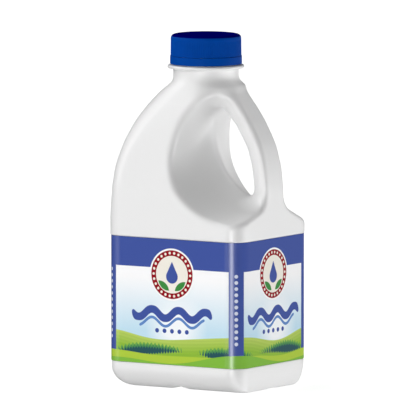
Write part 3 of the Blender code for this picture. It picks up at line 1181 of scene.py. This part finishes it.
# %% Meadows and leaves
far = wave(15.9, (2.1, 2.0, -1.5), (0.6, 3.0, 0.9))
furrow = ((far - v_mm) * 3.2 + (u_mm * 0.05).sine() * 3.0).sine() * 0.5 + 0.5
below_far = (v_mm - far).inside(INK_EDGE)
depth_far = ((far - v_mm) / 8.0).limit()
swell = (wave(0.5, (0.46, 3.0, 3.6), (0.12, 5.0, 1.0)) - 0.1).most(0.0) ** 0.7
middle = wave(7.8, (0.7, 2.0, 1.5))
near = wave(5.6, (0.9, 2.0, 4.4), (0.4, 3.0, 0.6))
front = wave(3.0, (2.4, 1.0, -0.15), (2.0, 2.0, -1.86))
print("meadows and leaves:", len(label_print.node_tree.nodes), "nodes so far")

# %% [markdown]
# ## Inks
# A printer lays one ink after another. Here each layer is a mask and a colour, and a mask
# that is 1 covers what lies below it. The order is sky, far meadow, leaves, blue fields, near
# meadows, and then the medallion, the waves and the dots.

# %% Lay the inks over each other
LEAF_EDGE = 0.25


def ink(distance, paint, edge=INK_EDGE):
    """A layer of ink where the distance is below nought, with a soft edge."""
    return distance.inside(edge), paint


layers = [
    (glow * 0.9, srgb(253, 254, 255)),
    (below_far, srgb(190, 211, 102)),
    (below_far * depth_far, srgb(146, 190, 62)),
    (below_far * furrow * 0.16, srgb(104, 158, 56)),
    ink(leaf_row(middle + 0.9, 2.5, 7.8, swell), srgb(104, 168, 80), LEAF_EDGE),
    ink(leaf_row(middle + 0.2, 2.1, 6.8, swell, 1.3), srgb(74, 138, 84), LEAF_EDGE),
    ink(leaf_row(middle - 0.7, 1.8, 5.8, swell, 0.6), srgb(42, 84, 92), LEAF_EDGE),
    ink(0.0 - under_band, INK_BLUE),
    ink(0.0 - beyond_front.least(beyond_side), INK_BLUE),
    ink(corner_beads, srgb(222, 228, 246)),
    ink(v_mm - near, srgb(176, 205, 66)),
    ink(v_mm - front, srgb(130, 187, 66)),
    ink(medal - RIM, srgb(253, 253, 253)),
    ink(medal - RING, INK_RED),
    ink(pearls, INK_CREAM),
    ink(medal - DISC, INK_CREAM),
    ink(sprig, INK_GREEN),
    ink(drop(MEDAL_AT - 1.2, 3.9, 8.6), INK_BLUE),
    ink(ripple(28.8, 27.0, 2.2), INK_BLUE),
    ink(ripple(24.2, 22.0, 0.8), srgb(96, 138, 200)),
    ink(dots, INK_BLUE),
]
colour = sky
for mask, paint in layers:
    colour = mask.blend(colour, paint)
feed(print_shader, "Base Color", colour)
feed(print_shader, "Coat Weight", (1.0 - (to_gloss - GLOSS_HALF) / GLOSS_FADE).limit())
print(len(layers), "layers of ink")

# %% Put the label on
label = label_sleeve(label_print)
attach(label, "root")
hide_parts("label")

# %% [markdown]
# ## Floor and light
# The jug stands on white between soft boxes: rows of them to its left and its right, a few
# high up and behind it, and two low ones that light it from below. The room is drawn as soft
# lobes of light, each a power of the cosine of the angle to its middle. The first lobe is
# narrow and close to the lens, and draws the upright streak on the rounded corner. The
# table is pale and glows enough to stay white under the jug's shadow, and the low boxes shine
# through it, as through a glass table. Beyond the table the lens sees a plain white backdrop,
# and not the lobes themselves.

# %% Floor
FLOOR_REACH = 16.0
FLOOR_GLOW = 0.75

floor_corners = FLOOR_REACH * np.array([(-1, -1, 0), (1, -1, 0), (1, 1, 0), (-1, 1, 0)])
floor_mesh = bpy.data.meshes.new("floor")
floor_mesh.from_pydata(floor_corners.tolist(), [], [(0, 1, 2, 3)])
floor = bpy.data.objects.new("floor", floor_mesh)
bpy.context.scene.collection.objects.link(floor)
table_white, _, _ = finish(
    "table_white",
    Base_Color=(0.6, 0.6, 0.6, 1.0),
    Roughness=0.9,
    Specular_IOR_Level=0.1,
    Emission_Color=(1.0, 1.0, 1.0, 1.0),
    Emission_Strength=FLOOR_GLOW,
)
floor_mesh.materials.append(table_white)
floor.visible_diffuse = False
floor.visible_glossy = False
floor.visible_transmission = False
floor.visible_shadow = False
print("floor:", 2.0 * FLOOR_REACH, "m wide")

# %% Light of the room
BACKDROP = 1.0
LOBES = [
    # Azimuth from the front face, elevation, sharpness, strength.
    (14.4, -6.0, 60.0, 9.0),
    (32.4, -45.0, 10.0, 1.95),
    (122.4, -45.0, 10.0, 2.15),
    (99.9, -8.0, 28.0, 2.35),
    (122.4, -8.0, 28.0, 2.23),
    (144.9, -8.0, 28.0, 1.54),
    (189.9, -8.0, 28.0, 1.23),
    (324.9, -8.0, 28.0, 1.79),
    (144.9, 16.0, 28.0, 1.06),
    (302.4, 16.0, 28.0, 2.31),
    (347.4, 16.0, 28.0, 2.25),
    (167.4, 45.0, 10.0, 1.19),
    (257.4, 45.0, 10.0, 1.32),
    (302.4, 45.0, 10.0, 2.26),
]

world = bpy.data.worlds.new("studio")
bpy.context.scene.world = world
world.use_nodes = True
room = Wire(world.node_tree)
direction = room.node("ShaderNodeTexCoord", output=0)
light = 0.0
for azimuth, elevation, sharpness, strength in LOBES:
    bearing, lift = math.radians(azimuth), math.radians(elevation)
    toward = (
        math.sin(bearing) * math.cos(lift),
        -math.cos(bearing) * math.cos(lift),
        math.sin(lift),
    )
    cosine = room.node(
        "ShaderNodeVectorMath", {"operation": "DOT_PRODUCT"}, {0: direction, 1: toward}, output=1
    )
    light = cosine.most(0.0) ** sharpness * strength + light
seen = room.node("ShaderNodeLightPath", output=0)
light = light + (BACKDROP - light) * seen
background = world.node_tree.nodes["Background"]
background.inputs["Color"].default_value = (1.0, 1.0, 1.0, 1.0)
world.node_tree.links.new(light.socket, background.inputs["Strength"])
bpy.context.scene.view_settings.view_transform = "Standard"
print("lobes of light:", len(LOBES))
